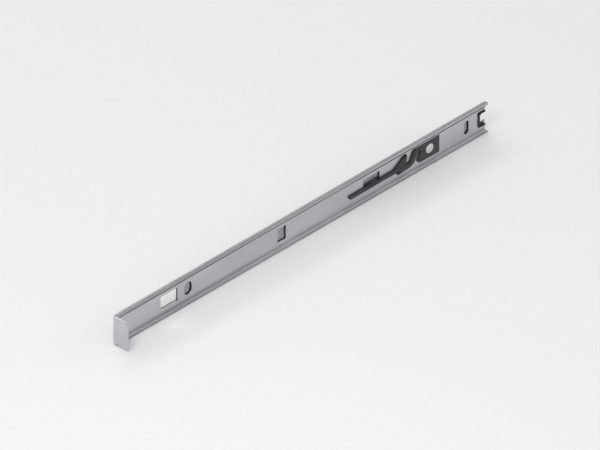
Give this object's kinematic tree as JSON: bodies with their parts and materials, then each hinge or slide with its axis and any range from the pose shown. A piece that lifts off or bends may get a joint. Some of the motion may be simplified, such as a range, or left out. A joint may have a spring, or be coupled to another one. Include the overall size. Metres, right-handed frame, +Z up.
{
  "type": "cabinet drawer slide",
  "caption": "Ball-bearing cabinet drawer slide with a front tab, web cut-outs, ball retainers and a release lever.",
  "frame": {"origin": "middle of the cabinet rail's back face, at mid-length and mid-height, on the cabinet wall", "axes": "+X along the rails to the back of the cabinet, +Y into the cabinet wall (the drawer is towards -Y), +Z up"},
  "size_m": [0.5102, 0.0217, 0.0352],
  "materials": {
    "rail_steel": "bright zinc plate, satin",
    "retainer_steel": "plain stamped strip, satin",
    "ball_steel": "polished",
    "rivet_steel": "bright zinc plate",
    "lever_plastic": "fine moulded grain",
    "bumper_rubber": "matt"
  },
  "bodies": {
    "cabinet": {"cabinet_web": "rail_steel", "cabinet_upper_race": "rail_steel", "cabinet_lower_race": "rail_steel", "rear_bumper": "bumper_rubber"},
    "upper_cage": {"upper_retainer": "retainer_steel", "upper_ball_1": "ball_steel", "upper_ball_2": "ball_steel", "upper_ball_3": "ball_steel", "upper_ball_4": "ball_steel", "upper_ball_5": "ball_steel", "upper_ball_6": "ball_steel", "upper_ball_7": "ball_steel", "upper_ball_8": "ball_steel", "upper_ball_9": "ball_steel", "upper_ball_10": "ball_steel", "upper_ball_11": "ball_steel"},
    "lower_cage": {"lower_retainer": "retainer_steel", "lower_ball_1": "ball_steel", "lower_ball_2": "ball_steel", "lower_ball_3": "ball_steel", "lower_ball_4": "ball_steel", "lower_ball_5": "ball_steel", "lower_ball_6": "ball_steel", "lower_ball_7": "ball_steel", "lower_ball_8": "ball_steel", "lower_ball_9": "ball_steel", "lower_ball_10": "ball_steel", "lower_ball_11": "ball_steel"},
    "drawer": {"drawer_web": "rail_steel", "drawer_upper_flange": "rail_steel", "drawer_lower_flange": "rail_steel", "front_tab": "rail_steel", "lever_base": "lever_plastic", "lever_rivet": "rivet_steel"},
    "lever": {"lever_arm": "lever_plastic"}
  },
  "joints": [
    {"name": "drawer_slide", "type": "slide", "parent": "cabinet", "child": "drawer", "axis": [-1, 0, 0], "range_m": [0, 0.326]},
    {"name": "upper_cage_slide", "type": "slide", "parent": "cabinet", "child": "upper_cage", "axis": [-1, 0, 0], "range_m": [0, 0.163]},
    {"name": "lower_cage_slide", "type": "slide", "parent": "cabinet", "child": "lower_cage", "axis": [-1, 0, 0], "range_m": [0, 0.163]},
    {"name": "lever_flex", "type": "hinge", "parent": "drawer", "child": "lever", "pos_m": [0.153, -0.0038, 0.004], "axis": [0, 1, 0], "range_deg": [0, 5], "stiffness_Nm_per_rad": 1}
  ],
  "couplings": [
    {"joint": "upper_cage_slide", "follows": "drawer_slide", "ratio": 0.5},
    {"joint": "lower_cage_slide", "follows": "drawer_slide", "ratio": 0.5}
  ]
}
